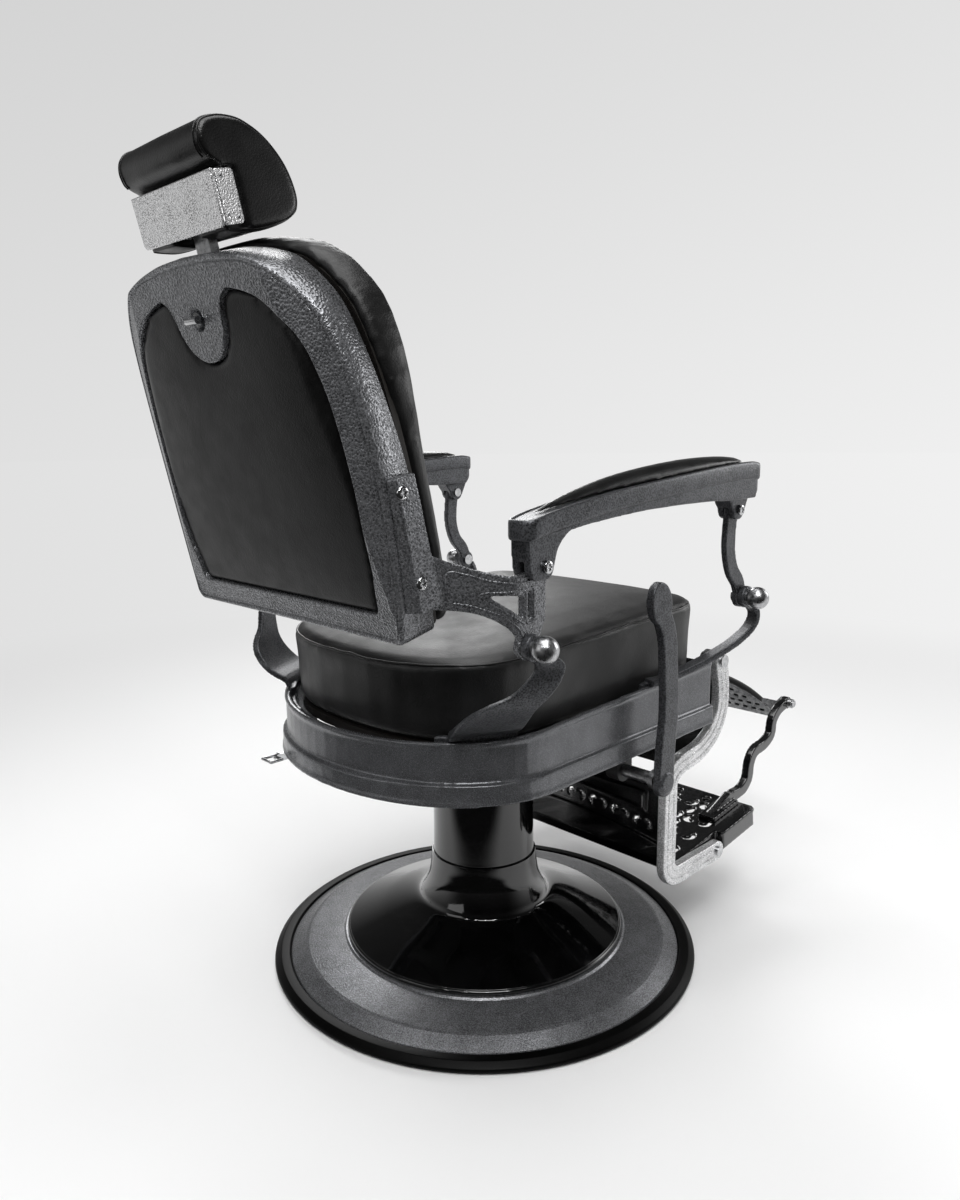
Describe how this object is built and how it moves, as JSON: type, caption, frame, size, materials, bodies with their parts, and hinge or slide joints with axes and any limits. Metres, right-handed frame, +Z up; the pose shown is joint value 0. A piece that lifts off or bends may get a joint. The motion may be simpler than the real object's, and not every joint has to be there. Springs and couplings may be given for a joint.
{
  "type": "hydraulic barber chair",
  "caption": "Classic barber chair: round pump base, swivel seat, reclining back with linked armrests, scroll footrest, flip-over calf rest, headrest and hand lever.",
  "frame": {"origin": "on the floor, under the axis of the ram, in the middle of the round base", "axes": "+Z up along the ram, the sitter faces -Y, +X is the sitter's left"},
  "size_m": [0.7236, 1.2053, 1.2039],
  "materials": {
    "black_enamel": "gloss enamel",
    "gunmetal_coat": "satin hammered powder coat",
    "black_frame": "matt black paint",
    "pump_casting": "machined casting",
    "steel": "zinc-plated, satin",
    "chrome": "polished",
    "black_vinyl": "fine-grained upholstery vinyl over foam",
    "plywood": "raw plywood"
  },
  "bodies": {
    "base": {"base_ring": "black_enamel", "base_plate": "gunmetal_coat", "skirt_cover": "black_enamel", "column_cover": "black_enamel", "pump_body": "pump_casting", "gland_nut": "steel", "flange_bolts": "steel"},
    "ram_body": {"ram": "chrome", "thrust_bearing": "steel"},
    "seat": {"seat_mount": "black_frame", "seat_frame": "black_frame", "seat_board": "plywood", "seat_cushion": "black_vinyl", "seat_band": "gunmetal_coat", "rear_bracket_left": "gunmetal_coat", "rear_bracket_right": "gunmetal_coat", "front_bracket_left": "gunmetal_coat", "front_bracket_right": "gunmetal_coat", "pivot_bolts": "chrome", "ball_knobs": "chrome", "ring_lug": "chrome", "valve_box": "black_frame", "shaft_hanger": "black_frame", "leg_hinge_bolts": "chrome"},
    "back": {"back_frame": "gunmetal_coat", "back_board": "plywood", "back_panel": "black_vinyl", "back_cushion": "black_vinyl", "side_bracket_left": "gunmetal_coat", "side_bracket_right": "gunmetal_coat", "bracket_screws": "chrome", "post_socket": "chrome"},
    "headrest_stem": {"headrest_post": "chrome"},
    "headrest": {"headrest_bracket": "gunmetal_coat", "headrest_pad": "black_vinyl", "headrest_pin": "steel"},
    "key": {"clamp_key": "chrome"},
    "arm_left": {"armrest_left": "gunmetal_coat", "arm_pad_left": "black_vinyl", "arm_pins_left": "chrome"},
    "arm_right": {"armrest_right": "gunmetal_coat", "arm_pad_right": "black_vinyl", "arm_pins_right": "chrome"},
    "link_left": {"front_link_left": "gunmetal_coat"},
    "link_right": {"front_link_right": "gunmetal_coat"},
    "leg_rest": {"rail_left": "gunmetal_coat", "rail_right": "gunmetal_coat", "leg_apron": "black_enamel", "leg_panel": "black_enamel", "leg_cross_bar": "black_enamel", "footplate_bolts": "chrome"},
    "foot": {"footplate": "black_enamel", "calf_arm_left": "black_enamel", "calf_arm_right": "black_enamel"},
    "calf": {"calf_plate": "steel", "calf_cushion": "black_vinyl", "calf_stubs": "steel"},
    "lever": {"pump_lever": "gunmetal_coat", "lever_shaft": "steel"},
    "ring": {"towel_ring": "chrome"}
  },
  "joints": [
    {"name": "lift", "type": "slide", "parent": "base", "child": "ram_body", "axis": [0, 0, 1], "range_m": [0, 0.15]},
    {"name": "swivel", "type": "hinge", "parent": "ram_body", "child": "seat", "pos_m": [0, 0, 0.33], "axis": [0, 0, 1], "continuous": true},
    {"name": "recline", "type": "hinge", "parent": "seat", "child": "back", "pos_m": [0, 0.231, 0.606], "axis": [-1, 0, 0], "range_deg": [0, 40]},
    {"name": "arm_pivot_left", "type": "hinge", "parent": "back", "child": "arm_left", "pos_m": [0, 0.21, 0.702], "axis": [1, 0, 0], "range_deg": [0, 43.7]},
    {"name": "arm_pivot_right", "type": "hinge", "parent": "back", "child": "arm_right", "pos_m": [0, 0.21, 0.702], "axis": [1, 0, 0], "range_deg": [0, 43.7]},
    {"name": "front_link_pivot_left", "type": "hinge", "parent": "seat", "child": "link_left", "pos_m": [0, -0.261, 0.603], "axis": [-1, 0, 0], "range_deg": [0, 29.8]},
    {"name": "front_link_pivot_right", "type": "hinge", "parent": "seat", "child": "link_right", "pos_m": [0, -0.261, 0.603], "axis": [-1, 0, 0], "range_deg": [0, 29.8]},
    {"name": "leg_rest_hinge", "type": "hinge", "parent": "seat", "child": "leg_rest", "pos_m": [0, -0.327, 0.474], "axis": [-1, 0, 0], "range_deg": [0, 36]},
    {"name": "footplate_fold", "type": "hinge", "parent": "leg_rest", "child": "foot", "pos_m": [0, -0.337, 0.127], "axis": [-1, 0, 0], "range_deg": [0, 35]},
    {"name": "calf_rest_flip", "type": "hinge", "parent": "foot", "child": "calf", "pos_m": [0, -0.652, 0.321], "axis": [1, 0, 0], "range_deg": [0, 180]},
    {"name": "pump_lever_swing", "type": "hinge", "parent": "seat", "child": "lever", "pos_m": [0, -0.086, 0.34], "axis": [1, 0, 0], "range_deg": [-20, 20]},
    {"name": "headrest_height", "type": "slide", "parent": "back", "child": "headrest_stem", "axis": [0, 0.2385, 0.9711], "range_m": [0, 0.08]},
    {"name": "headrest_tilt", "type": "hinge", "parent": "headrest_stem", "child": "headrest", "pos_m": [0, 0.45911, 1.11503], "axis": [-1, 0, 0], "range_deg": [0, 25]},
    {"name": "clamp_key_turn", "type": "hinge", "parent": "back", "child": "key", "pos_m": [0, 0.45546, 0.99957], "axis": [0, 0.9711, -0.2385], "range_deg": [-180, 180]},
    {"name": "towel_ring_swing", "type": "hinge", "parent": "seat", "child": "ring", "pos_m": [0.15, 0.29911, 0.36501], "axis": [1, 0, 0], "range_deg": [-80, 60]}
  ],
  "couplings": [
    {"joint": "arm_pivot_left", "follows": "recline", "ratio": 1.0908},
    {"joint": "arm_pivot_right", "follows": "recline", "ratio": 1.0908},
    {"joint": "front_link_pivot_left", "follows": "recline", "ratio": 0.7427},
    {"joint": "front_link_pivot_right", "follows": "recline", "ratio": 0.7427},
    {"joint": "leg_rest_hinge", "follows": "recline", "ratio": 0.9}
  ]
}
